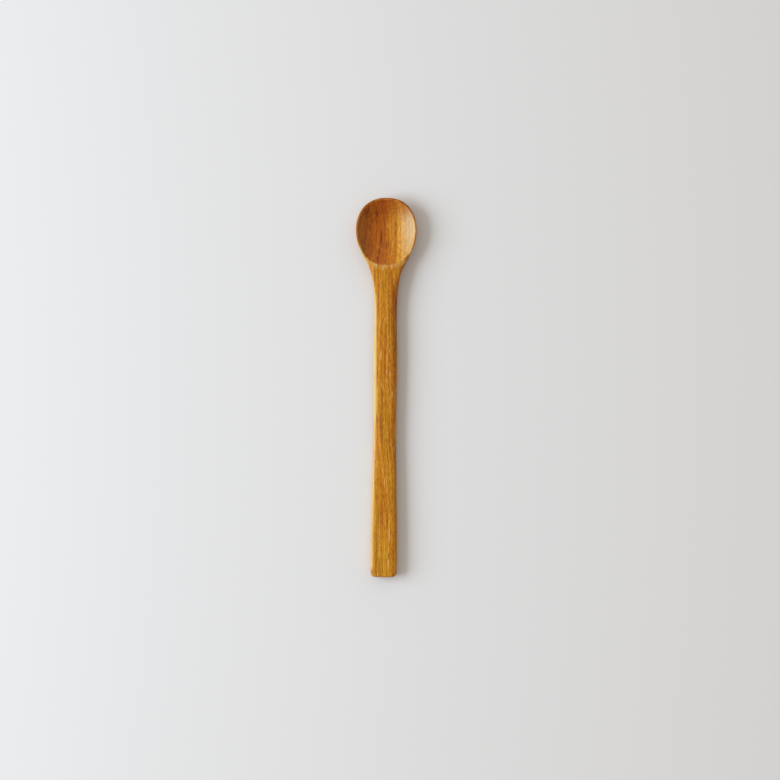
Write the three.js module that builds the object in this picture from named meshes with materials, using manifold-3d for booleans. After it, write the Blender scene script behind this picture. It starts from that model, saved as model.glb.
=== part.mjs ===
// Honey spoon: a small egg-shaped bowl on a long flat handle, carved from one piece of wood.
//
// Millimetres, +Z up. +Y runs along the spoon towards the tip of the bowl and +X runs across it.
// The spoon lies on z = 0, and the origin is under the middle of its length.

import * as THREE from "three";
import { mergeVertices } from "three/addons/utils/BufferGeometryUtils.js";
import Module from "manifold-3d";

// Driving dimensions: the outline seen from above
const SPOON_LENGTH = 180;
const BOWL_WIDTH = 28.8;
const TIP_TO_WIDEST = 15.7;
const WIDEST_TO_SHOULDER = 13.8;
const SHOULDER_WIDTH = 20.1;
const SHOULDER_TO_THROAT = 8.5;
const THROAT_WIDTH = 13.1;
const THROAT_TO_GRIP = 9;
const GRIP_TO_NECK = 11;
const NECK_WIDTH = 10.7;
const NECK_TO_SWELL = 22;
const SWELL_WIDTH = 11.5;
const SWELL_TO_WAIST = 31;
const WAIST_WIDTH = 11;
const TAIL_WIDTH = 12.6;
const TAIL_ROUNDING = 12;

// Driving dimensions: heights above the table and thicknesses
const RIM_HEIGHT = 6;
const RIM_EDGE = 0.4;
const FLOOR_THICKNESS = 1.5;
const THROAT_LIFT = 1.3;
const NECK_THICKNESS = 4.4;
const TAIL_THICKNESS = 5.2;
const TAIL_EDGE_RADIUS = 0.9;
const REST_SHAVING = 0.2;

// Driving dimensions: the hollow of the bowl
const RIM_WALL = 0.6;
const WIDEST_TO_LIP = 16.3;

// Wings beside the neck's flat top, which slope down to the outline
const NECK_FLAT_WIDTH = 10.8;
const WINGS_TO_SHOULDER = 5;

// Stretch over which the thin edges of the bowl become the handle's rounded ones
const EDGES_TO_THROAT = 4;
const GRIP_TO_EDGES = 3;

// Angles in degrees: the outline's sides off the spoon's axis, and the wings off the level
const SHOULDER_LEAN = 28.8;
const THROAT_LEAN = 9.1;
const WING_LEAN = 9;

// Exponents of the rounded forms: 2 is an ellipse, more is squarer, and 1 is a parabola's fullness
const BOWL_SQUARENESS = 2.25;
const BELLY_FULLNESS = 1.4;
const RIM_SQUARENESS = 4.6;
const GRIP_SQUARENESS = 2.9;
const END_SQUARENESS = 6;
const BASE_SQUARENESS = 3.6;
const TAIL_SQUARENESS = 8;
const HOLLOW_FULLNESS = 2.5;

// Fineness of the facets
const SECTION_POINTS = 40;
const TIP_STEPS = 14;
const SHOULDER_STEPS = 18;
const NECK_STEPS = 8;
const HANDLE_STEPS = 16;
const TAIL_STEPS = 10;
const HOLLOW_RINGS = 11;
const HOLLOW_POINTS = 56;
const SAME_POINT = 1e-4;

// Stations along the spoon, as distances from the tip of the bowl
const WIDEST = TIP_TO_WIDEST;
const SHOULDER = WIDEST + WIDEST_TO_SHOULDER;
const THROAT = SHOULDER + SHOULDER_TO_THROAT;
const GRIP = THROAT + THROAT_TO_GRIP;
const NECK = GRIP + GRIP_TO_NECK;
const SWELL = NECK + NECK_TO_SWELL;
const WAIST = SWELL + SWELL_TO_WAIST;
const TAIL = SPOON_LENGTH - TAIL_ROUNDING;
const LIP = WIDEST + WIDEST_TO_LIP;

const { degToRad, lerp, smoothstep } = THREE.MathUtils;

// Height of a rounded end at a share of the way from its middle (0) to its edge (1).
function roundedEnd(share, squareness, fullness = squareness) {
  return Math.max(0, 1 - share ** squareness) ** (1 / fullness);
}

// Value at a distance along the smooth curve through stations of { at, value, slope }.
function alongStations(stations, distance) {
  const last = stations.length - 1;
  const found = stations.findIndex((station) => distance <= station.at);
  const end = found < 0 ? last : Math.max(found, 1);
  const from = stations[end - 1];
  const to = stations[end];
  const span = to.at - from.at;
  const share = THREE.MathUtils.clamp((distance - from.at) / span, 0, 1);
  const ease = share * share * (3 - 2 * share);
  const leave = span * from.slope * share * (1 - share) ** 2;
  const arrive = span * to.slope * share ** 2 * (1 - share);
  return lerp(from.value, to.value, ease) + leave - arrive;
}

const OUTLINE = [
  { at: WIDEST, value: BOWL_WIDTH / 2, slope: 0 },
  { at: SHOULDER, value: SHOULDER_WIDTH / 2, slope: -Math.tan(degToRad(SHOULDER_LEAN)) },
  { at: THROAT, value: THROAT_WIDTH / 2, slope: -Math.tan(degToRad(THROAT_LEAN)) },
  { at: NECK, value: NECK_WIDTH / 2, slope: 0 },
  { at: SWELL, value: SWELL_WIDTH / 2, slope: 0 },
  { at: WAIST, value: WAIST_WIDTH / 2, slope: 0 },
  { at: TAIL, value: TAIL_WIDTH / 2, slope: 0 },
];

const UNDERSIDE = [
  { at: WIDEST, value: -REST_SHAVING, slope: 0 },
  { at: THROAT, value: THROAT_LIFT, slope: 0 },
  { at: TAIL, value: -REST_SHAVING, slope: 0 },
];

const NECK_TOP = alongStations(UNDERSIDE, NECK) + NECK_THICKNESS;
const TOP_LINE = [
  { at: LIP, value: RIM_HEIGHT, slope: 0 },
  { at: NECK, value: NECK_TOP, slope: (TAIL_THICKNESS - NECK_TOP) / (TAIL - NECK) },
  { at: TAIL, value: TAIL_THICKNESS, slope: 0 },
];

function tipShare(distance) {
  return Math.max(0, (WIDEST - distance) / WIDEST);
}

function halfWidth(distance) {
  const tailShare = Math.max(0, (distance - TAIL) / TAIL_ROUNDING);
  const tip = roundedEnd(tipShare(distance), BOWL_SQUARENESS);
  const tail = roundedEnd(tailShare, TAIL_SQUARENESS);
  return alongStations(OUTLINE, distance) * tip * tail;
}

// How far a wing's surface lies below the neck's flat top.
function wingDrop(distance, x) {
  const slope = Math.tan(degToRad(WING_LEAN)) * smoothstep(distance, SHOULDER - WINGS_TO_SHOULDER, LIP);
  return slope * Math.max(0, Math.abs(x) - NECK_FLAT_WIDTH / 2);
}

// How far the top and bottom edges of the tail's end are rounded off.
function tailEdgeDrop(distance) {
  const into = Math.max(0, distance - (SPOON_LENGTH - TAIL_EDGE_RADIUS));
  return TAIL_EDGE_RADIUS - Math.sqrt(Math.max(0, TAIL_EDGE_RADIUS ** 2 - into ** 2));
}

// One cross-section: two rounded halves that meet at the widest level of the spoon there.
function section(distance) {
  const asHandle = smoothstep(distance, SHOULDER, GRIP);
  const asGrip = smoothstep(distance, THROAT - EDGES_TO_THROAT, GRIP + GRIP_TO_EDGES);
  const asEnd = smoothstep(distance, WAIST, TAIL);
  const top = alongStations(TOP_LINE, distance) - tailEdgeDrop(distance);
  const bottom = alongStations(UNDERSIDE, distance) + tailEdgeDrop(distance);
  const widestLevel = lerp(top - RIM_EDGE, (top + bottom) / 2, asGrip);
  const upper = (top - widestLevel) * roundedEnd(tipShare(distance), RIM_SQUARENESS);
  const edgeLevel = widestLevel - wingDrop(distance, halfWidth(distance));
  const lower = (edgeLevel - bottom) * roundedEnd(tipShare(distance), BOWL_SQUARENESS, BELLY_FULLNESS);
  const topSquareness = lerp(RIM_SQUARENESS, lerp(GRIP_SQUARENESS, END_SQUARENESS, asEnd), asGrip);
  const baseSides = lerp(BOWL_SQUARENESS, BASE_SQUARENESS, asHandle);
  const baseFloor = lerp(BELLY_FULLNESS, BASE_SQUARENESS, asHandle);

  const ring = [];
  for (let k = 0; k < SECTION_POINTS; k += 1) {
    const angle = (2 * Math.PI * k) / SECTION_POINTS;
    const across = Math.cos(angle);
    const up = Math.sin(angle);
    const sides = up > 0 ? topSquareness : baseSides;
    const floor = up > 0 ? topSquareness : baseFloor;
    const x = halfWidth(distance) * Math.sign(across) * Math.abs(across) ** (2 / sides);
    const rise = Math.sign(up) * Math.abs(up) ** (2 / floor);
    const z = up > 0 ? widestLevel + rise * upper - wingDrop(distance, x) : edgeLevel + rise * lower;
    ring.push(new THREE.Vector3(x, SPOON_LENGTH / 2 - distance, z));
  }
  return ring;
}

// Evenly spaced distances, the first left out because it ends the stretch before.
function evenSteps(from, to, count) {
  return Array.from({ length: count }, (_, k) => lerp(from, to, (k + 1) / count));
}

// Distances that crowd towards a rounded end.
function endSteps(middle, end, count) {
  return Array.from({ length: count }, (_, k) => {
    const angle = ((k + 1) / count) * (Math.PI / 2);
    return lerp(middle, end, Math.sin(angle));
  });
}

// Closed skin over rings with the same number of points; end rings that fall together close it.
function skin(rings) {
  const size = rings[0].length;
  const corners = [];
  for (let ring = 0; ring + 1 < rings.length; ring += 1) {
    for (let k = 0; k < size; k += 1) {
      const a = ring * size + k;
      const b = ring * size + ((k + 1) % size);
      corners.push([a, b, a + size], [b, b + size, a + size]);
    }
  }
  const open = new THREE.BufferGeometry();
  open.setAttribute("position", new THREE.BufferAttribute(
    new Float32Array(rings.flat().flatMap((point) => point.toArray())), 3));
  open.setIndex(corners.flat());
  const merged = mergeVertices(open, SAME_POINT);
  const index = merged.getIndex().array;
  const kept = [];
  for (let k = 0; k < index.length; k += 3) {
    const [a, b, c] = index.slice(k, k + 3);
    if (a !== b && b !== c && c !== a) {
      kept.push(a, b, c);
    }
  }
  merged.setIndex(kept);
  return merged;
}

function bodyGeometry() {
  const distances = [
    ...endSteps(WIDEST, 0, TIP_STEPS).reverse(),
    WIDEST,
    ...evenSteps(WIDEST, THROAT, SHOULDER_STEPS),
    ...evenSteps(THROAT, NECK, NECK_STEPS),
    ...evenSteps(NECK, TAIL, HANDLE_STEPS),
    ...endSteps(TAIL, SPOON_LENGTH, TAIL_STEPS),
  ];
  return skin(distances.map(section));
}

// Point of the bowl's rounded form at an angle round its middle, as shares of its half-width and its reach.
function bowlRound(angle) {
  const across = Math.cos(angle);
  const along = Math.sin(angle);
  return new THREE.Vector2(
    Math.sign(across) * Math.abs(across) ** (2 / BOWL_SQUARENESS),
    Math.sign(along) * Math.abs(along) ** (2 / BOWL_SQUARENESS),
  );
}

// Edge of the hollow on the tip's side: the outline less the wall.
function tipRim(angle) {
  const { x, y } = bowlRound(angle);
  return new THREE.Vector2(x * (BOWL_WIDTH / 2 - RIM_WALL), y * (TIP_TO_WIDEST - RIM_WALL));
}

// The same on the handle's side: a rounded lip that leaves the wall between itself and the outline.
function lipRim(angle) {
  const { x, y } = bowlRound(angle);
  const reach = y * WIDEST_TO_LIP;
  const limit = halfWidth(WIDEST - reach) - RIM_WALL;
  return new THREE.Vector2(THREE.MathUtils.clamp((x * BOWL_WIDTH) / 2, -limit, limit), reach);
}

// One level line of the hollow: its edge drawn in towards the middle of the bowl.
function hollowRing(share) {
  const depth = RIM_HEIGHT - FLOOR_THICKNESS;
  const z = RIM_HEIGHT - depth * (1 - share ** HOLLOW_FULLNESS);
  const middle = SPOON_LENGTH / 2 - WIDEST;
  const ring = [];
  for (let k = 0; k < HOLLOW_POINTS; k += 1) {
    const angle = (2 * Math.PI * k) / HOLLOW_POINTS;
    const rim = Math.sin(angle) > 0 ? tipRim(angle) : lipRim(angle);
    ring.push(new THREE.Vector3(share * rim.x, middle + share * rim.y, z));
  }
  return ring;
}

// Cutter for the hollow: it keeps opening above the rim and ends in a flat lid.
function hollowGeometry() {
  const lidShare = 1 + 1 / HOLLOW_RINGS;
  const rings = [];
  for (let k = 0; k <= HOLLOW_RINGS + 1; k += 1) {
    rings.push(hollowRing(k / HOLLOW_RINGS));
  }
  const lidMiddle = hollowRing(lidShare)[0].clone().setX(0);
  rings.push(rings[0].map(() => lidMiddle));
  return skin(rings);
}

// Everything below the table, planed off so that belly and heel rest flat.
function tableGeometry() {
  const depth = RIM_HEIGHT;
  const table = new THREE.BoxGeometry(2 * BOWL_WIDTH, 2 * SPOON_LENGTH, depth);
  table.translate(0, 0, -depth / 2);
  table.deleteAttribute("normal");
  table.deleteAttribute("uv");
  return mergeVertices(table);
}

const wasm = await Module();
wasm.setup();

function toSolid(geometry) {
  return new wasm.Manifold(new wasm.Mesh({
    numProp: 3,
    vertProperties: new Float32Array(geometry.getAttribute("position").array),
    triVerts: new Uint32Array(geometry.getIndex().array),
  }));
}

function toGeometry(solid) {
  const mesh = solid.getMesh();
  const geometry = new THREE.BufferGeometry();
  geometry.setAttribute("position", new THREE.BufferAttribute(mesh.vertProperties, 3));
  geometry.setIndex(new THREE.BufferAttribute(mesh.triVerts, 1));
  geometry.computeVertexNormals();
  return geometry;
}

function carvedSpoon() {
  const carved = toSolid(bodyGeometry())
    .subtract(toSolid(hollowGeometry()))
    .subtract(toSolid(tableGeometry()));
  const wood = new THREE.MeshStandardMaterial({ color: 0xb9802e, roughness: 0.45, metalness: 0 });
  const mesh = new THREE.Mesh(toGeometry(carved), wood);
  mesh.name = "carved_spoon";
  return mesh;
}

const spoon = new THREE.Group();
spoon.add(carvedSpoon());

export default spoon;
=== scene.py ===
"""Honey spoon: a small egg-shaped bowl on a long flat handle, carved from one piece of lacquered wood.

Shapes are worked out in millimetres in the spoon's own frame: +Y runs towards the tip of the bowl,
+X runs across and +Z is up. Places along the spoon are distances from the tip.
"""

import math

import bmesh
import bpy
import numpy as np
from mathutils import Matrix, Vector, noise


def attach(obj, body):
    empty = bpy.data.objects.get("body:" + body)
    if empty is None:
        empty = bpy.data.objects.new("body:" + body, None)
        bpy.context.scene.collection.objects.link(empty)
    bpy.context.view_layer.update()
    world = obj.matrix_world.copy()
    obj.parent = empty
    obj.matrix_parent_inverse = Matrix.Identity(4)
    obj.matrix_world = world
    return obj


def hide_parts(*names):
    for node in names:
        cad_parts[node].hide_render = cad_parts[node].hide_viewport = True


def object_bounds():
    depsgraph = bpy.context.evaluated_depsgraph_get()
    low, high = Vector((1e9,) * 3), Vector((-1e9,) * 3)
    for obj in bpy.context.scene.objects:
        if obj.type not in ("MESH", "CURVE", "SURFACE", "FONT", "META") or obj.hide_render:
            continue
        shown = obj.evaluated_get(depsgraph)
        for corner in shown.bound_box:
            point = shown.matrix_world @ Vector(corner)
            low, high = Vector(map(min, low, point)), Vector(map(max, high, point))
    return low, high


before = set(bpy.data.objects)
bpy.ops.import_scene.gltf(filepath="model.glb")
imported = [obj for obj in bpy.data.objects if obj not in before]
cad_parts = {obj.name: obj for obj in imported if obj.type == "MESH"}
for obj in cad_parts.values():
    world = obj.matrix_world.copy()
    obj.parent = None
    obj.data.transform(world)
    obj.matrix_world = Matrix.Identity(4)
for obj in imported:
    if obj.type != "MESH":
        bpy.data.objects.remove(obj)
cad_low, cad_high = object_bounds()

MM = 0.001

# Sizes that the frame gives
SPOON_LENGTH = (cad_high.y - cad_low.y) / MM
BOWL_WIDTH = (cad_high.x - cad_low.x) / MM
RIM_HEIGHT = cad_high.z / MM

# Outline seen from above: distances from the tip, and widths
WIDEST = 15.7
SHOULDER = 29.5
LIP = 32.0
THROAT = 38.0
GRIP = 47.0
NECK = 58.0
SWELL = 80.0
WAIST = 111.0
TAIL_ROUNDING = 12.0
TAIL = SPOON_LENGTH - TAIL_ROUNDING
SHOULDER_WIDTH = 20.1
THROAT_WIDTH = 13.1
NECK_WIDTH = 10.7
SWELL_WIDTH = 11.5
WAIST_WIDTH = 11.0
TAIL_WIDTH = 12.6
SHOULDER_SLOPE = -math.tan(math.radians(28.8))
THROAT_SLOPE = -math.tan(math.radians(9.1))

# Heights and thicknesses
RIM_EDGE = 0.4
RIM_WALL = 0.6
FLOOR_THICKNESS = 1.5
THROAT_LIFT = 1.3
NECK_THICKNESS = 4.4
TAIL_THICKNESS = 5.2
TAIL_EDGE_RADIUS = 0.9
REST_SHAVING = 0.2

# Wings beside the neck's flat top, which slope down to the outline
NECK_FLAT_WIDTH = 10.8
WINGS_FROM = SHOULDER - 5.0
EDGES_FROM = THROAT - 4.0
EDGES_FULL = GRIP + 3.0
WING_SLOPE = math.tan(math.radians(9.0))

# Exponents of the rounded forms: 2 is an ellipse and more is squarer
BOWL_SQUARENESS = 2.25
BELLY_FULLNESS = 1.4
RIM_SQUARENESS = 4.6
GRIP_SQUARENESS = 2.9
END_SQUARENESS = 6.0
BASE_SQUARENESS = 3.6
TAIL_SQUARENESS = 8.0
HOLLOW_FULLNESS = 2.5

# Softness of the worn edges, as the height over which two faces run together
RIM_SOFTNESS = 0.35
LIP_SOFTNESS = 0.45
WALL_SOFTNESS = 0.7
LIP_SOFT_FROM = SHOULDER - 3.0

# Fineness of the mesh
TOP_STEPS = 92
TOP_CROWDING = 2.0
BASE_STEPS = 30
FAN_STEPS = 72
SHOULDER_STEPS = 46
LIP_STEPS = 24
THROAT_STEPS = 14
NECK_STEPS = 24
HANDLE_STEPS = 120
TAIL_STEPS = 44
LIP_ZONE = 1.5
BISECTIONS = 40
SHARE_RANGE = (1e-6, 12.0)
SAME_POINT = 0.001

# Unevenness left by the knife
CARVING_DEPTH = 0.07
CARVING_LENGTH = 16.0
CARVING_BREADTH = 5.0

# Where the painted highlight on the handle's left edge and the painted shade on its right edge begin
# and are full, as stations of (place, share of the half-width, slope)
MID_HANDLE = (SWELL + WAIST) / 2
BEFORE_SOFT_END = TAIL - 41.0
SOFT_END = TAIL - 18.0
PAST_NECK = NECK + 10.0
HIGHLIGHT_FROM = (
    (THROAT, 0.93, 0),
    (GRIP, 0.86, 0),
    (SWELL, 0.68, 0),
    (MID_HANDLE, 0.46, 0),
    (WAIST, 0.76, 0),
    (BEFORE_SOFT_END, 0.85, 0),
    (SOFT_END, 0.52, 0),
    (TAIL, 0.55, 0),
)
HIGHLIGHT_FULL = (
    (THROAT, 0.97, 0),
    (GRIP, 0.90, 0),
    (SWELL, 0.82, 0),
    (MID_HANDLE, 0.87, 0),
    (WAIST, 0.92, 0),
    (BEFORE_SOFT_END, 0.90, 0),
    (SOFT_END, 0.96, 0),
    (TAIL, 0.98, 0),
)
SHADE_FROM = ((PAST_NECK, 0.25, 0), (WAIST, 0.60, 0))
SHADE_FULL = ((PAST_NECK, 0.75, 0), (WAIST, 0.94, 0))

# Strength of the painted highlights and painted shade on the edges, and of the pale lip band at its
# middle
TAIL_HIGHLIGHT = 0.75
RIGHT_EDGE_SHADE = 0.52
TAIL_SHADE = 0.45
RIM_SHADE_AND_END_GRAIN = 0.5
RIGHT_RIM_SHADE_EASING = 0.7
RIGHT_WING_SHADE = 0.9
LIP_MIDDLE_SHARE = 0.85

# Where painted light and shade and the lip band set in or end: along the spoon, as distances from the
# tip
STRIP_START = (THROAT - 3.0, THROAT + 6.0)
STRIP_END = (SPOON_LENGTH - 6.0, SPOON_LENGTH - 2.0)
RIM_HIGHLIGHT_START = (20.0, 26.0)
RIGHT_RIM_END = (SHOULDER - 3.0, SHOULDER)
LEFT_RIM_END = (LIP, LIP + 2.0)
WING_START = (SHOULDER - 4.0, SHOULDER - 1.0)
LIP_START = (SHOULDER - 3.0, SHOULDER + 1.0)

# Across the top, as shares of the half-width
RIM_TOP = (0.90, 0.95)
RIM_OUTSIDE = (0.95, 0.98)
WING_EDGE = (0.85, 0.91)

# In the bowl, as shares of the way from its middle to the hollow's edge
HOLLOW_EDGE = (0.97, 1.0)
LIP_EDGE = (0.985, 1.005)
LIP_BAND = 0.13

# Down the sides, as an angle below the top's edge in radians
TONE_FADE = 0.12

# Single dashes in the grain of the top: across, along, length, breadth and tone, which is dark below 0
GRAIN_MARKS = (
    (-2.1, 15.3, 5, 0.25, 0.9),
    (2, 17.5, 2.5, 0.25, 0.6),
    (2.4, 6, 4, 0.25, 0.7),
    (-1, 0.4, 3, 0.25, 0.7),
    (3.4, -3, 3.5, 0.25, 0.9),
    (0.1, -44.7, 4.5, 0.25, 0.6),
    (2.5, -70, 7, 0.25, 0.9),
    (2.2, -83, 4, 0.25, 0.8),
    (-0.3, 32.6, 1.8, 0.25, 0.7),
    (-1.4, 56.6, 2.6, 0.25, 0.8),
    (-4.6, 58.1, 1.8, 0.25, 0.9),
    (-0.9, 58, 1.6, 0.25, 0.6),
    (2.6, 57.6, 2.8, 0.25, 0.7),
    (-9.2, 60.8, 1.8, 0.25, 0.8),
    (-1.8, 9.5, 12, 0.4, -0.4),
    (-1.5, 1, 14, 0.45, -0.4),
    (-1.5, -5.5, 12, 0.45, -0.5),
    (-1.4, -14, 13, 0.4, -0.45),
    (-1.3, -24, 13, 0.35, -0.4),
    (0.1, -39.5, 7, 0.25, -0.45),
    (-2.7, -62, 16, 0.3, -0.45),
    (2.5, -79.8, 4, 0.25, -0.6),
    (3.3, 38.7, 8, 0.25, -0.4),
    (-3.5, 37.3, 5, 0.25, -0.4),
    (-5.3, 52, 11, 0.25, -0.5),
    (-1.4, 49, 6, 0.35, -0.5),
    (1.9, 52.5, 7, 0.4, -0.45),
    (5.4, 49.5, 10, 0.8, -0.35),
    (-2.4, 71.2, 8.5, 0.33, -1.2),
    (-3.3, 64.6, 4.5, 0.4, -0.95),
    (0, 68.1, 4.5, 0.33, -0.8),
    (1.3, 68.3, 4.5, 0.33, -0.7),
    (-4.1, 60.9, 4, 0.5, -1.1),
    (-7.9, 76.1, 4, 0.5, -0.65),
    (4.5, 73.8, 3.5, 0.35, -0.7),
    (4.6, 77.9, 2.5, 0.35, -0.7),
    (4.3, 67.7, 4, 0.35, -0.6),
    (0.8, 77.3, 3, 0.35, 0.6),
    (10.8, 78.7, 1.4, 0.4, -0.6),
    (-4.4, 82.7, 4, 0.6, -0.9),
    (-9, 83.4, 3, 0.5, -0.8),
    # The last three are a pale line along the tip's rim, not dashes: wear of the rim with a painted
    # highlight on it
    (0.4, 89.4, 1, 1.8, 0.5),
    (-4, 89.2, 0.8, 1.2, 0.4),
    (5, 88.7, 0.8, 1.3, 0.4),
)

# Growth rings in millimetres: place of the pith, spacing, and how far the grain shifts below the middle
PITH = (-60.0, 0.0, -25.0)
RING_SPACING = 1.8
GRAIN_SHIFT = 3.0
SHIFT_FROM = -15.0
SHIFT_TO = -68.0
DARKEST = -0.18
LATE_WOOD = (0.35, 0.95)
RING_SHARE = 0.18
BROAD_SHARE = 0.32
FIBRE_SHARE = 0.4
FLECK_SHARE = 0.48

# Streaks and pores of the wood, as how many there are to a millimetre across, along and through it
WANDER_SCALE = (0.15, 0.012, 0.15)
BROAD_SCALE = (1.3, 0.03, 1.0)
FIBRE_SCALE = (1.9, 0.085, 1.9)
FLECK_SCALE = (2.8, 0.5, 2.8)
WARMTH_SCALE = (0.9, 0.03, 0.9)
PATCH_SCALE = (0.9, 0.12, 0.9)
CRUMB_SCALE = (1.1, 0.3, 1.1)
PORE_CORE = 0.6
DARK_PORE_SCALE = (1.9, 0.11, 1.9)
DARK_PORE_WIDTH = 0.27
DARK_PORES_KEPT = 0.5
DARK_PORE_STRENGTH = 0.6
PALE_PORE_SCALE = (1.7, 0.16, 1.7)
PALE_PORE_WIDTH = 0.26
PALE_PORES_KEPT = 0.07

# Clouds that make the streaks: the part of their range in use, their roughness and their detail
CLOUD_RANGE = (0.28, 0.72)
CLOUD_ROUGHNESS = 0.55
PLAIN_DETAIL = 2.0
CRUMB_DETAIL = 3.0
FIBRE_DETAIL = 4.0

# Patches in the edges' painted highlights and crumbs on the lip: range of the streaks, and the shares
# they give
PATCH_RANGE = (0.1, 0.7)
PATCH_SHARES = (0.65, 0.9)
CRUMB_RANGE = (0.2, 0.8)
CRUMB_SHARES = (0.2, 0.8)

# Strength of painted highlight over which the edges first turn half pale and then fully pale
HALF_HIGHLIGHT_RANGE = (0.0, 0.5)
HIGHLIGHT_RANGE = (0.15, 1.15)

# Colours of the wood under its lacquer
WOOD_TONES = (
    (0.00, (0.250, 0.070, 0.002)),
    (0.25, (0.367, 0.123, 0.002)),
    (0.50, (0.458, 0.178, 0.004)),
    (0.75, (0.533, 0.240, 0.010)),
    (1.00, (0.630, 0.330, 0.040)),
)
PORE_COLOUR = (0.26, 0.075, 0.006)
DARK_COLOUR = (0.16, 0.036, 0.004)
PALE_COLOUR = (0.68, 0.44, 0.15)
# Painted highlight on the lit edges and the rim, in two steps of paleness
HALF_HIGHLIGHT_COLOUR = (0.555, 0.26, 0.03)
HIGHLIGHT_COLOUR = (0.52, 0.42, 0.138)
LIP_COLOUR = (0.62, 0.42, 0.15)
# Painted shade on the shaded edges and the right wing, and partly darker end grain on the tip's rim
SHADE_TINT = (0.46, 0.29, 0.20)
TINT_DEPTH = 0.2
# Painted shade over the hollow's left and a painted sheen up its right wall, as tints across the spoon
HOLLOW_SHADE_AND_SHEEN = (
    (-12.0, (0.63, 0.49, 0.25)),
    (-6.5, (0.86, 0.59, 0.15)),
    (-1.0, (0.84, 0.57, 0.22)),
    (4.0, (1.01, 0.98, 0.95)),
    (8.0, (1.13, 1.20, 1.20)),
    (13.0, (1.00, 1.00, 1.00)),
)
# Pale colour of the painted sheen up the hollow's right wall, where it starts and is full, and its
# share
WALL_SHEEN_COLOUR = (0.47, 0.40, 0.18)
SHEEN_FROM = 4.0
SHEEN_FULL = 13.0
SHEEN_SHARE = 0.5
END_GRAIN_TINT = (0.80, 0.62, 0.50)
END_GRAIN_FROM = 13.0
END_GRAIN_FULL = 4.0
END_GRAIN_SIDES = (-9.0, -1.0)
END_GRAIN_LEFT = 0.4
RED_TINT = (1.06, 0.90, 0.90)
OCHRE_TINT = (0.96, 1.06, 1.0)
OCHRE_TO_TAIL = 0.16

# Sheen of the lacquer, and relief of the fibres under it
SATIN_ROUGHNESS = 0.37
ROUGHNESS_SPREAD = 0.05
GLOSS_LEVEL = 0.3
RELIEF_DEPTH = 0.05
RELIEF_STRENGTH = 0.5

# View from straight above
FRAME_WIDTH = 0.370
FRAME_LEVEL = 0.005
LENS = 80.0
SENSOR = 36.0
VIEW_CENTRE = (0.00235, -0.0011)
VIEW_TURN = math.radians(0.45)

# Soft daylight from the left, a dim room and a pale floor
WINDOW_RADIANCE = 8.0
WINDOW_COLOUR = (0.90, 1.0, 1.11)
WINDOW_DISTANCE = 1.5
WINDOW_ELEVATION = math.radians(28.0)
WINDOW_WIDTH = 1.2
WINDOW_HEIGHT = 0.88
ROOM_LIGHT = 0.69
ROOM_COLOUR = (1.09, 1.0, 0.90, 1.0)
ROOM_LEAN = (-0.05, 0.3, -0.22)
FLOOR_SIZE = 6.0
FLOOR_COLOUR = (0.715, 0.715, 0.717, 1.0)
FLOOR_ROUGHNESS = 0.9
FLOOR_GLOSS = 0.1


def smooth_share(value, low, high):
    share = np.clip((value - low) / (high - low), 0, 1)
    return share * share * (3 - 2 * share)


def mix(first, second, share):
    return first + (second - first) * share


def soft_least(first, second, softness):
    """Lesser of two heights, with a rounded corner where they cross."""
    overlap = np.maximum(softness - np.abs(first - second), 0) / softness
    return np.minimum(first, second) - overlap * overlap * softness / 4


def rounded_end(share, squareness):
    """Height of a rounded end at a share of the way from its middle (0) to its edge (1)."""
    return np.maximum(0, 1 - share**squareness) ** (1 / squareness)


def along_stations(stations, distance):
    """Value at a distance along the smooth curve through stations of (place, value, slope)."""
    place, value, slope = np.array(stations).T
    start = np.clip(np.searchsorted(place, distance) - 1, 0, len(place) - 2)
    end = start + 1
    span = place[end] - place[start]
    share = np.clip((distance - place[start]) / span, 0, 1)
    leave = span * slope[start] * share * (1 - share) ** 2
    arrive = span * slope[end] * share**2 * (1 - share)
    return mix(value[start], value[end], share * share * (3 - 2 * share)) + leave - arrive


OUTLINE = (
    (WIDEST, BOWL_WIDTH / 2, 0),
    (SHOULDER, SHOULDER_WIDTH / 2, SHOULDER_SLOPE),
    (THROAT, THROAT_WIDTH / 2, THROAT_SLOPE),
    (NECK, NECK_WIDTH / 2, 0),
    (SWELL, SWELL_WIDTH / 2, 0),
    (WAIST, WAIST_WIDTH / 2, 0),
    (TAIL, TAIL_WIDTH / 2, 0),
)
UNDERSIDE = (
    (WIDEST, -REST_SHAVING, 0),
    (THROAT, THROAT_LIFT, 0),
    (TAIL, -REST_SHAVING, 0),
)
NECK_TOP = float(along_stations(UNDERSIDE, NECK)) + NECK_THICKNESS
TOP_LINE = (
    (LIP, RIM_HEIGHT, 0),
    (NECK, NECK_TOP, (TAIL_THICKNESS - NECK_TOP) / (TAIL - NECK)),
    (TAIL, TAIL_THICKNESS, 0),
)


def half_width(distance):
    tail_share = np.maximum(0, (distance - TAIL) / TAIL_ROUNDING)
    return along_stations(OUTLINE, distance) * rounded_end(tail_share, TAIL_SQUARENESS)


def tail_edge_drop(distance):
    """How far the top and bottom edges of the tail's end are rounded off."""
    into = np.maximum(0, distance - (SPOON_LENGTH - TAIL_EDGE_RADIUS))
    return TAIL_EDGE_RADIUS - np.sqrt(np.maximum(0, TAIL_EDGE_RADIUS**2 - into**2))


def hollow_height(rim_share):
    depth = RIM_HEIGHT - FLOOR_THICKNESS
    return RIM_HEIGHT - depth * (1 - rim_share**HOLLOW_FULLNESS)


def lip_half_width(reach):
    """Half-width of the hollow on the handle's side, at a reach from the bowl's middle."""
    round_lip = BOWL_WIDTH / 2 * rounded_end(reach / (LIP - WIDEST), BOWL_SQUARENESS)
    return soft_least(half_width(WIDEST + reach) - RIM_WALL, round_lip, WALL_SOFTNESS)


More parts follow.
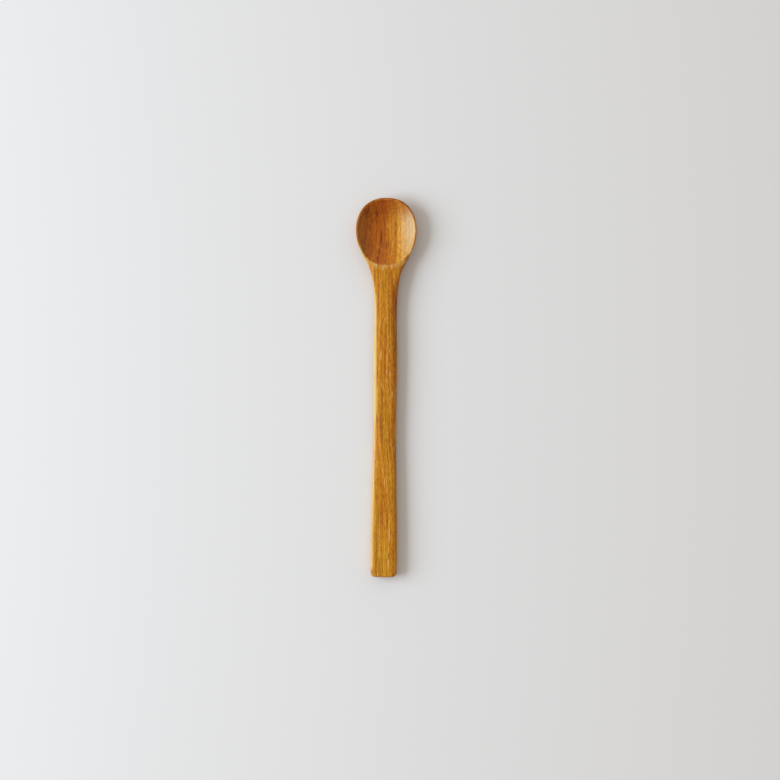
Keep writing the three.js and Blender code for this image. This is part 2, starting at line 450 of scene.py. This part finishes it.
def lip_rim_share(across, reach):
    """Share of the way from the bowl's middle to the hollow's edge, on the handle's side."""
    least, most = SHARE_RANGE
    low = np.maximum(reach / (LIP - WIDEST), least)
    high = np.full_like(low, most)
    for _ in range(BISECTIONS):
        middle = (low + high) / 2
        outside = np.abs(across) / middle > lip_half_width(reach / middle)
        low = np.where(outside, middle, low)
        high = np.where(outside, high, middle)
    return high


def tip_rim_share(across, reach):
    """The same on the tip's side, where the edge follows the outline."""
    across_share = np.abs(across) / (BOWL_WIDTH / 2 - RIM_WALL)
    reach_share = reach / (WIDEST - RIM_WALL)
    return (across_share**BOWL_SQUARENESS + reach_share**BOWL_SQUARENESS) ** (1 / BOWL_SQUARENESS)


def top_fractions():
    """Places across the top, from its middle (0) to its edge (1), crowded at the edge."""
    return 1 - (1 - np.linspace(0, 1, TOP_STEPS + 1)) ** TOP_CROWDING


def base_angles():
    """Angles down the lower half of a section, from just below its edge to its middle line."""
    return np.linspace(0, math.pi / 2, BASE_STEPS + 1)[1:]


def handle_light_and_shade(place, fraction, left):
    """Painted light on the handle's edges: a painted highlight on its lit left side, and painted shade
    on its right.
    """
    strip_from = along_stations(HIGHLIGHT_FROM, place)
    strip_full = along_stations(HIGHLIGHT_FULL, place)
    strip = smooth_share(fraction, strip_from, strip_full)
    along_left = smooth_share(place, *STRIP_START) * (1 - smooth_share(place, *STRIP_END))
    highlight_strength = mix(1, TAIL_HIGHLIGHT, smooth_share(place, NECK, TAIL))
    right_shade_from = along_stations(SHADE_FROM, place)
    right_shade_full = along_stations(SHADE_FULL, place)
    right_shade = smooth_share(fraction, right_shade_from, right_shade_full)
    along_right = smooth_share(place, LIP, GRIP)
    shade_strength = RIGHT_EDGE_SHADE * mix(1, TAIL_SHADE, smooth_share(place, GRIP, WAIST))
    return strip * along_left * highlight_strength * left - right_shade * along_right * shade_strength * (1 - left)


def rim_light_and_shade(place, fraction, rim_share, left):
    """Painted highlight on the rim towards the lip, and painted shade, partly end grain, on its outside
    and the right wing.
    """
    on_rim = smooth_share(rim_share, *HOLLOW_EDGE) * smooth_share(fraction, *RIM_TOP)
    outer = smooth_share(fraction, *RIM_OUTSIDE)
    towards_lip = smooth_share(place, *RIM_HIGHLIGHT_START)
    past_lip = mix(smooth_share(place, *RIGHT_RIM_END), smooth_share(place, *LEFT_RIM_END), left)
    highlight = on_rim * towards_lip * mix(1 - outer, 1, left)
    shade = RIM_SHADE_AND_END_GRAIN * outer * (1 - towards_lip * mix(RIGHT_RIM_SHADE_EASING, 1, left))
    wing = smooth_share(place, *WING_START) * (1 - smooth_share(place, LIP, THROAT))
    wing_shade = RIGHT_WING_SHADE * smooth_share(fraction, *WING_EDGE) * wing * (1 - left)
    return (highlight - shade) * (1 - past_lip) - wing_shade


def edge_light_and_shade(place, fraction, rim_share, left):
    """Painted light on the top's edges: 1 for a full painted highlight and below 0 for painted shade.
    """
    return handle_light_and_shade(place, fraction, left) + rim_light_and_shade(place, fraction, rim_share, left)


def lip_band_share(place, across, rim_share):
    """Share of the pale band where the neck's top breaks over into the hollow."""
    past = np.maximum(rim_share - 1, 0) / LIP_BAND
    band = smooth_share(rim_share, *LIP_EDGE) * np.clip(1 - past, 0, 1)
    strength = mix(LIP_MIDDLE_SHARE, 1, smooth_share(across, NECK_FLAT_WIDTH / 2, SHOULDER_WIDTH / 2))
    return band * strength * smooth_share(place, *LIP_START)


def with_base(top):
    """Tones of whole half-sections: those of the top, fading out below its edge."""
    fade = 1 - smooth_share(base_angles()[None, :], 0, TONE_FADE)
    return np.concatenate([top, top[:, -1:] * fade], axis=1)


def handle_sections(distance):
    """Right halves of the sections from the bowl's widest place to the tail, and both halves' lip band
    and painted light.
    """
    place = distance[:, None]
    as_handle = smooth_share(place, SHOULDER, GRIP)
    as_grip = smooth_share(place, EDGES_FROM, EDGES_FULL)
    drop = tail_edge_drop(place)
    top = along_stations(TOP_LINE, place) - drop
    bottom = along_stations(UNDERSIDE, place) + drop
    level = mix(top - RIM_EDGE, (top + bottom) / 2, as_grip)
    width = half_width(place)

    fraction = top_fractions()[None, :]
    across_top = width * fraction
    handle_squareness = mix(GRIP_SQUARENESS, END_SQUARENESS, smooth_share(place, WAIST, TAIL))
    squareness = mix(RIM_SQUARENESS, handle_squareness, as_grip)
    as_wing = smooth_share(place, WINGS_FROM, LIP)
    wing_drop = WING_SLOPE * as_wing * np.maximum(0, across_top - NECK_FLAT_WIDTH / 2)
    uncut = level + (top - level) * rounded_end(fraction, squareness) - wing_drop
    reach = np.broadcast_to(place - WIDEST, across_top.shape)
    rim_share = lip_rim_share(across_top, reach)
    as_lip = smooth_share(place, LIP_SOFT_FROM, LIP)
    up_top = soft_least(uncut, hollow_height(rim_share), mix(RIM_SOFTNESS, LIP_SOFTNESS, as_lip))
    lip = with_base(lip_band_share(place, across_top, rim_share))
    # Painted highlights and painted shade on both halves' edges
    right_light = with_base(edge_light_and_shade(place, fraction, rim_share, 0))
    left_light = with_base(edge_light_and_shade(place, fraction, rim_share, 1))

    angle = base_angles()[None, :]
    sides = mix(BOWL_SQUARENESS, BASE_SQUARENESS, as_handle)
    fullness = mix(BELLY_FULLNESS, BASE_SQUARENESS, as_handle)
    across_base = width * np.abs(np.cos(angle)) ** (2 / sides)
    edge_level = level - wing_drop[:, -1:]
    up_base = edge_level - (edge_level - bottom) * np.sin(angle) ** (2 / fullness)

    across = np.concatenate([across_top, across_base], axis=1)
    up = np.concatenate([up_top, up_base], axis=1)
    along = np.broadcast_to(place, across.shape)
    carved = np.concatenate([uncut - up_top, np.zeros_like(up_base)], axis=1)
    return across, along, up, carved, lip, right_light, left_light


def tip_sections():
    """The same along spokes that turn from the right side over the tip to the left side."""
    turn = np.linspace(0, math.pi, FAN_STEPS + 1)[1:-1][:, None]
    spread = np.sign(np.cos(turn)) * np.abs(np.cos(turn)) ** (2 / BOWL_SQUARENESS) * BOWL_WIDTH / 2
    reach = np.sin(turn) ** (2 / BOWL_SQUARENESS) * WIDEST
    level = RIM_HEIGHT - RIM_EDGE

    fraction = top_fractions()[None, :]
    uncut = level + RIM_EDGE * rounded_end(fraction, RIM_SQUARENESS)
    rim_share = tip_rim_share(spread * fraction, reach * fraction)
    up_top = soft_least(uncut, hollow_height(rim_share), RIM_SOFTNESS)
    # Painted highlight and painted shade on the rim around the tip
    painted_light = with_base(edge_light_and_shade(WIDEST - reach * fraction, fraction, rim_share, spread < 0))

    angle = base_angles()[None, :]
    share = np.abs(np.cos(angle)) ** (2 / BOWL_SQUARENESS)
    up_base = level - (level + REST_SHAVING) * np.sin(angle) ** (2 / BELLY_FULLNESS)

    shares = np.concatenate([fraction, share], axis=1)
    rows = len(turn)
    up = np.concatenate([up_top, np.repeat(up_base, rows, axis=0)], axis=1)
    carved = np.concatenate([uncut - up_top, np.zeros((rows, BASE_STEPS))], axis=1)
    return spread * shares, WIDEST - reach * shares, up, carved, painted_light


def handle_distances():
    """Distances of the sections, closest together over the lip and at the tail's end."""
    shoulder = np.linspace(WIDEST, LIP - LIP_ZONE, SHOULDER_STEPS, endpoint=False)
    lip = np.linspace(LIP - LIP_ZONE, LIP + LIP_ZONE, LIP_STEPS, endpoint=False)
    throat = np.linspace(LIP + LIP_ZONE, THROAT, THROAT_STEPS, endpoint=False)
    neck = np.linspace(THROAT, NECK, NECK_STEPS, endpoint=False)
    handle = np.linspace(NECK, TAIL, HANDLE_STEPS, endpoint=False)
    tail = TAIL + TAIL_ROUNDING * np.sin(np.linspace(0, math.pi / 2, TAIL_STEPS))
    return np.concatenate([shoulder, lip, throat, neck, handle, tail])


def spoon_points():
    """Points of the skin, the depth carved below the uncut top, lip band and painted light at each, and
    the faces.
    """
    across, along, up, carved, lip, right_light, left_light = handle_sections(handle_distances())
    rows, size = across.shape
    right = np.arange(rows * size).reshape(rows, size)
    own = slice(1, size - 1)

    left = right.copy()
    left[:-1, own] = rows * size + np.arange((rows - 1) * (size - 2)).reshape(rows - 1, size - 2)
    mirrored = (slice(0, rows - 1), own)

    fan_across, fan_along, fan_up, fan_carved, fan_light = tip_sections()
    spokes = len(fan_across)
    fan = np.empty((spokes + 2, size), dtype=int)
    fan[0] = right[0]
    fan[-1] = left[0]
    fan[1:-1, 0] = right[0, 0]
    fan[1:-1, -1] = right[0, -1]
    fan[1:-1, own] = left[:-1, own].max() + 1 + np.arange(spokes * (size - 2)).reshape(spokes, size - 2)

    def gathered(handle_part, mirrored_part, fan_part):
        return np.concatenate([handle_part.ravel(), mirrored_part.ravel(), fan_part[:, own].ravel()])

    points = np.stack([
        gathered(across, -across[mirrored], fan_across),
        SPOON_LENGTH / 2 - gathered(along, along[mirrored], fan_along),
        gathered(up, up[mirrored], fan_up),
    ], axis=1)
    tones = {
        "carved": gathered(carved, carved[mirrored], fan_carved),
        "lip": gathered(lip, lip[mirrored], np.zeros_like(fan_up)),
        # Painted highlights and painted shade on the edges
        "painted_light": gathered(right_light, left_light[mirrored], fan_light),
    }
    faces = strip_faces(right, False) + strip_faces(left, True) + strip_faces(fan, True)
    return points, tones, faces


def strip_faces(grid, flipped):
    """Faces between neighbouring rows of a grid of points, without corners that fall together."""
    faces = []
    for first, second in zip(grid[:-1], grid[1:]):
        for k in range(len(first) - 1):
            corners = [first[k], second[k], second[k + 1], first[k + 1]]
            corners = list(dict.fromkeys(int(corner) for corner in corners))
            if len(corners) > 2:
                faces.append(corners[::-1] if flipped else corners)
    return faces


def uneven(points, normals):
    """Points moved in and out a little, in long shallow strokes along the spoon."""
    stroke = Vector((1 / CARVING_BREADTH, 1 / CARVING_LENGTH, 1 / CARVING_BREADTH))
    swell = [noise.noise(Vector(point) * stroke) for point in points]
    return points + normals * CARVING_DEPTH * np.array(swell)[:, None]


def grain_marks(points, facing_up):
    """Tone of the single dashes at each point of the top."""
    tone = np.zeros(len(points))
    for across, along, length, breadth, strength in GRAIN_MARKS:
        beside = (points[:, 0] - across) / breadth
        past = (points[:, 1] - along) / (length / 2)
        tone += strength * np.exp(-beside**2) * np.clip(1 - past**2, 0, 1)
    return tone * np.clip(facing_up, 0, 1)


def within_frame(points):
    low = np.array(cad_low) / MM
    high = np.array(cad_high) / MM
    return np.clip(points, low, high)


def merge_points(mesh):
    """Make one of the points that fall together at the middle of the tail's end."""
    shape = bmesh.new()
    shape.from_mesh(mesh)
    bmesh.ops.remove_doubles(shape, verts=shape.verts, dist=SAME_POINT * MM)
    shape.to_mesh(mesh)
    shape.free()


def make_spoon():
    points, tones, faces = spoon_points()
    mesh = bpy.data.meshes.new("spoon")
    mesh.from_pydata(points.tolist(), [], faces)
    normals = np.empty(len(points) * 3)
    mesh.vertices.foreach_get("normal", normals)
    normals = normals.reshape(-1, 3)
    tones["marks"] = grain_marks(points, normals[:, 2])
    points = within_frame(uneven(points, normals))
    mesh.vertices.foreach_set("co", (points * MM).ravel())
    for name, values in tones.items():
        mesh.attributes.new(name, "FLOAT", "POINT").data.foreach_set("value", values)
    merge_points(mesh)
    mesh.shade_smooth()
    mesh.update()
    spoon = bpy.data.objects.new("spoon", mesh)
    bpy.context.scene.collection.objects.link(spoon)
    return spoon


def add_node(tree, kind, inputs=None, **settings):
    """New node with its settings, and with each input set to a value or linked to an output."""
    made = tree.nodes.new(kind)
    for name, value in settings.items():
        setattr(made, name, value)
    for socket, value in (inputs or {}).items():
        if isinstance(value, bpy.types.NodeSocket):
            tree.links.new(value, made.inputs[socket])
        else:
            made.inputs[socket].default_value = value
    return made


def new_material(name):
    material = bpy.data.materials.new(name)
    material.use_nodes = True
    return material, material.node_tree, material.node_tree.nodes["Principled BSDF"]


def combined(tree, operation, first, second=0.0):
    """Result of one operation on two values."""
    return add_node(tree, "ShaderNodeMath", {0: first, 1: second}, operation=operation).outputs["Value"]


def eased(tree, value, low, high, to_low=0.0, to_high=1.0):
    """Value carried smoothly from one range to another and held at its ends."""
    made = add_node(tree, "ShaderNodeMapRange", {
        "Value": value, "From Min": low, "From Max": high, "To Min": to_low, "To Max": to_high,
    }, interpolation_type="SMOOTHSTEP")
    return made.outputs["Result"]


def scaled(tree, place, scale):
    made = add_node(tree, "ShaderNodeVectorMath", {0: place, 1: scale}, operation="MULTIPLY")
    return made.outputs["Vector"]


def streaks(tree, place, scale, detail=PLAIN_DETAIL):
    """Cloudy value between 0 and 1 with so many clouds to a millimetre along each axis."""
    made = add_node(tree, "ShaderNodeTexNoise", {
        "Vector": scaled(tree, place, scale),
        "Scale": 1.0,
        "Detail": detail,
        "Roughness": CLOUD_ROUGHNESS,
    })
    return eased(tree, made.outputs["Fac"], *CLOUD_RANGE)


def blended(tree, share, first, second, blend_type="MIX"):
    made = add_node(tree, "ShaderNodeMix", data_type="RGBA", blend_type=blend_type)
    for name, value in (("Factor_Float", share), ("A_Color", first), ("B_Color", second)):
        socket = next(socket for socket in made.inputs if socket.identifier == name)
        if isinstance(value, bpy.types.NodeSocket):
            tree.links.new(value, socket)
        elif name == "Factor_Float":
            socket.default_value = value
        else:
            socket.default_value = (*value, 1.0)
    return next(socket for socket in made.outputs if socket.identifier == "Result_Color")


def ramp(tree, value, steps):
    """Colour for a value, from steps of (value, colour) in rising order."""
    low = steps[0][0]
    high = steps[-1][0]
    share = add_node(tree, "ShaderNodeMapRange", {"Value": value, "From Min": low, "From Max": high})
    made = add_node(tree, "ShaderNodeValToRGB", {"Fac": share.outputs["Result"]})
    stops = made.color_ramp.elements
    while len(stops) < len(steps):
        stops.new(1.0)
    for stop, (place, colour) in zip(stops, steps):
        stop.position = (place - low) / (high - low)
        stop.color = (*colour, 1.0)
    return made.outputs["Color"]


def wood_place(tree):
    """Place in the wood in millimetres, straightened where the grain bends."""
    position = add_node(tree, "ShaderNodeTexCoord").outputs["Object"]
    place = scaled(tree, position, (1 / MM, 1 / MM, 1 / MM))
    parts = add_node(tree, "ShaderNodeSeparateXYZ", {0: place})
    shift = eased(tree, parts.outputs["Y"], SHIFT_TO, SHIFT_FROM, GRAIN_SHIFT, 0.0)
    straight = add_node(tree, "ShaderNodeCombineXYZ", {
        0: combined(tree, "SUBTRACT", parts.outputs["X"], shift),
        1: parts.outputs["Y"],
        2: parts.outputs["Z"],
    })
    return straight.outputs["Vector"], parts.outputs


def ring_count(tree, place):
    """Number of growth rings from the pith, with a slow wander."""
    from_pith = add_node(tree, "ShaderNodeVectorMath", {0: place, 1: PITH}, operation="SUBTRACT")
    across_grain = scaled(tree, from_pith.outputs["Vector"], (1.0, 0.0, 1.0))
    radius = add_node(tree, "ShaderNodeVectorMath", {0: across_grain}, operation="LENGTH")
    rings = combined(tree, "DIVIDE", radius.outputs["Value"], RING_SPACING)
    return combined(tree, "ADD", rings, streaks(tree, place, WANDER_SCALE))


def wood_tone(tree, place):
    """Tone from growth rings, broad streaks that follow them, fine fibres and flecks."""
    count = ring_count(tree, place)
    along = add_node(tree, "ShaderNodeSeparateXYZ", {0: place}).outputs["Y"]
    in_ring = add_node(tree, "ShaderNodeCombineXYZ", {0: count, 1: along}).outputs["Vector"]
    fibres = streaks(tree, place, FIBRE_SCALE, FIBRE_DETAIL)
    layers = (
        (eased(tree, combined(tree, "FRACT", count), *LATE_WOOD, 1.0, 0.0), RING_SHARE),
        (streaks(tree, in_ring, BROAD_SCALE), BROAD_SHARE),
        (fibres, FIBRE_SHARE),
        (streaks(tree, place, FLECK_SCALE), FLECK_SHARE),
    )
    tone = DARKEST
    for value, share in layers:
        tone = combined(tree, "ADD", combined(tree, "MULTIPLY", value, share), tone)
    return tone, fibres


def pores(tree, place, scale, width, kept):
    """Share of a pore's colour: short lengthwise dashes scattered in the wood."""
    made = add_node(tree, "ShaderNodeTexVoronoi", {"Vector": scaled(tree, place, scale), "Scale": 1.0})
    dash = eased(tree, made.outputs["Distance"], width * PORE_CORE, width, 1.0, 0.0)
    chosen = add_node(tree, "ShaderNodeSeparateColor", {0: made.outputs["Color"]}).outputs["Red"]
    return combined(tree, "MULTIPLY", dash, combined(tree, "LESS_THAN", chosen, kept))


def attribute(tree, name):
    return add_node(tree, "ShaderNodeAttribute", attribute_name=name).outputs["Fac"]


def positive(tree, value):
    return combined(tree, "MAXIMUM", value, 0.0)


def negative(tree, value):
    """How far a value lies below 0."""
    return positive(tree, combined(tree, "MULTIPLY", value, -1.0))


def plain_wood(tree, place, along):
    """Colour of the lacquered wood, redder towards the tip, and its fine fibres."""
    tone, fibres = wood_tone(tree, place)
    tip = SPOON_LENGTH / 2
    along_ochre = eased(tree, along, -tip, tip, OCHRE_TO_TAIL, -OCHRE_TO_TAIL)
    ochre = combined(tree, "ADD", streaks(tree, place, WARMTH_SCALE), along_ochre)
    tint = blended(tree, ochre, RED_TINT, OCHRE_TINT)
    return blended(tree, 1.0, ramp(tree, tone, WOOD_TONES), tint, "MULTIPLY"), fibres


def with_pores(tree, colour, place):
    """Colour with the pores and the single dashes of the grain, and the share of the dark pores."""
    dark_pores = pores(tree, place, DARK_PORE_SCALE, DARK_PORE_WIDTH, DARK_PORES_KEPT)
    pale_pores = pores(tree, place, PALE_PORE_SCALE, PALE_PORE_WIDTH, PALE_PORES_KEPT)
    marks = attribute(tree, "marks")
    dark_share = combined(tree, "MULTIPLY", dark_pores, DARK_PORE_STRENGTH)
    colour = blended(tree, dark_share, colour, PORE_COLOUR)
    colour = blended(tree, negative(tree, marks), colour, DARK_COLOUR)
    colour = blended(tree, combined(tree, "MAXIMUM", pale_pores, marks), colour, PALE_COLOUR)
    return colour, dark_pores


def in_hollow(tree, colour, across):
    """Colour in the hollow: painted shade over its left, and a painted sheen up its right wall."""
    shaded_and_lit = blended(tree, 1.0, colour, ramp(tree, across, HOLLOW_SHADE_AND_SHEEN), "MULTIPLY")
    wall_sheen = eased(tree, across, SHEEN_FROM, SHEEN_FULL, 0.0, SHEEN_SHARE)
    hollow_colour = blended(tree, wall_sheen, shaded_and_lit, WALL_SHEEN_COLOUR)
    return blended(tree, eased(tree, attribute(tree, "carved"), 0.0, TINT_DEPTH), colour, hollow_colour)


def with_end_grain(tree, colour, across, along):
    """Colour darkened towards the tip, where the surface cuts across the fibres."""
    tip = SPOON_LENGTH / 2
    towards_tip = eased(tree, along, tip - END_GRAIN_FROM, tip - END_GRAIN_FULL)
    to_the_right = eased(tree, across, *END_GRAIN_SIDES, END_GRAIN_LEFT, 1.0)
    end_grain = combined(tree, "MULTIPLY", towards_tip, to_the_right)
    return blended(tree, end_grain, colour, END_GRAIN_TINT, "MULTIPLY")


def with_painted_light(tree, colour, place):
    """Colour with painted shade on the shaded edges, painted highlights on the lit edges, and a pale
    band on the lip.
    """
    painted_light = attribute(tree, "painted_light")
    patches = eased(tree, streaks(tree, place, PATCH_SCALE), *PATCH_RANGE, *PATCH_SHARES)
    highlight = combined(tree, "MULTIPLY", positive(tree, painted_light), patches)
    crumbs = eased(tree, streaks(tree, place, CRUMB_SCALE, CRUMB_DETAIL), *CRUMB_RANGE, *CRUMB_SHARES)
    lip = combined(tree, "MULTIPLY", attribute(tree, "lip"), crumbs)
    colour = blended(tree, negative(tree, painted_light), colour, SHADE_TINT, "MULTIPLY")
    colour = blended(tree, eased(tree, highlight, *HALF_HIGHLIGHT_RANGE), colour, HALF_HIGHLIGHT_COLOUR)
    colour = blended(tree, eased(tree, highlight, *HIGHLIGHT_RANGE), colour, HIGHLIGHT_COLOUR)
    return blended(tree, lip, colour, LIP_COLOUR)


def lacquered_wood():
    material, tree, shader = new_material("lacquered_wood")
    place, frame_place = wood_place(tree)
    colour, fibres = plain_wood(tree, place, frame_place["Y"])
    colour, dark_pores = with_pores(tree, colour, place)
    colour = in_hollow(tree, colour, frame_place["X"])
    colour = with_end_grain(tree, colour, frame_place["X"], frame_place["Y"])
    colour = with_painted_light(tree, colour, place)
    tree.links.new(colour, shader.inputs["Base Color"])

    roughest = SATIN_ROUGHNESS + ROUGHNESS_SPREAD
    smoothest = SATIN_ROUGHNESS - ROUGHNESS_SPREAD
    roughness = eased(tree, fibres, 0.0, 1.0, roughest, smoothest)
    tree.links.new(roughness, shader.inputs["Roughness"])
    shader.inputs["Specular IOR Level"].default_value = GLOSS_LEVEL
    relief = add_node(tree, "ShaderNodeBump", {
        "Height": combined(tree, "SUBTRACT", fibres, dark_pores),
        "Strength": RELIEF_STRENGTH,
        "Distance": RELIEF_DEPTH * MM,
    })
    tree.links.new(relief.outputs["Normal"], shader.inputs["Normal"])
    return material


def floor_material():
    material, _, shader = new_material("pale_paper")
    shader.inputs["Base Color"].default_value = FLOOR_COLOUR
    shader.inputs["Roughness"].default_value = FLOOR_ROUGHNESS
    shader.inputs["Specular IOR Level"].default_value = FLOOR_GLOSS
    return material


def make_floor():
    half = FLOOR_SIZE / 2
    corners = [(-half, -half, 0), (half, -half, 0), (half, half, 0), (-half, half, 0)]
    mesh = bpy.data.meshes.new("floor")
    mesh.from_pydata(corners, [], [(0, 1, 2, 3)])
    floor = bpy.data.objects.new("floor", mesh)
    bpy.context.scene.collection.objects.link(floor)
    floor.data.materials.append(floor_material())
    return floor


def make_window():
    window = bpy.data.lights.new("window", "AREA")
    window.shape = "RECTANGLE"
    window.size = WINDOW_WIDTH
    window.size_y = WINDOW_HEIGHT
    window.color = WINDOW_COLOUR
    window.energy = math.pi * WINDOW_RADIANCE * WINDOW_WIDTH * WINDOW_HEIGHT
    lamp = bpy.data.objects.new("window", window)
    towards = Vector((-math.cos(WINDOW_ELEVATION), 0, math.sin(WINDOW_ELEVATION)))
    lamp.location = towards * WINDOW_DISTANCE
    lamp.rotation_euler = towards.to_track_quat("Z", "Y").to_euler()
    bpy.context.scene.collection.objects.link(lamp)


def make_room():
    """Dim light from all round, a little stronger from some sides."""
    world = bpy.data.worlds.new("room")
    world.use_nodes = True
    tree = world.node_tree
    direction = add_node(tree, "ShaderNodeTexCoord")
    lean = add_node(tree, "ShaderNodeVectorMath", {
        0: direction.outputs["Generated"],
        1: ROOM_LEAN,
    }, operation="DOT_PRODUCT")
    strength = combined(tree, "ADD", lean.outputs["Value"], ROOM_LIGHT)
    background = tree.nodes["Background"]
    background.inputs["Color"].default_value = ROOM_COLOUR
    tree.links.new(strength, background.inputs["Strength"])
    bpy.context.scene.world = world


def make_camera():
    camera = bpy.data.cameras.new("camera")
    camera.lens = LENS
    camera.sensor_width = SENSOR
    eye = bpy.data.objects.new("camera", camera)
    eye.location = (*VIEW_CENTRE, FRAME_LEVEL + FRAME_WIDTH * LENS / SENSOR)
    eye.rotation_euler = (0, 0, VIEW_TURN)
    bpy.context.scene.collection.objects.link(eye)
    bpy.context.scene.camera = eye


bpy.context.scene.view_settings.view_transform = "Standard"
make_camera()
make_window()
make_room()

floor = make_floor()

spoon = make_spoon()
spoon.data.materials.append(lacquered_wood())
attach(spoon, "root")
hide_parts("carved_spoon")
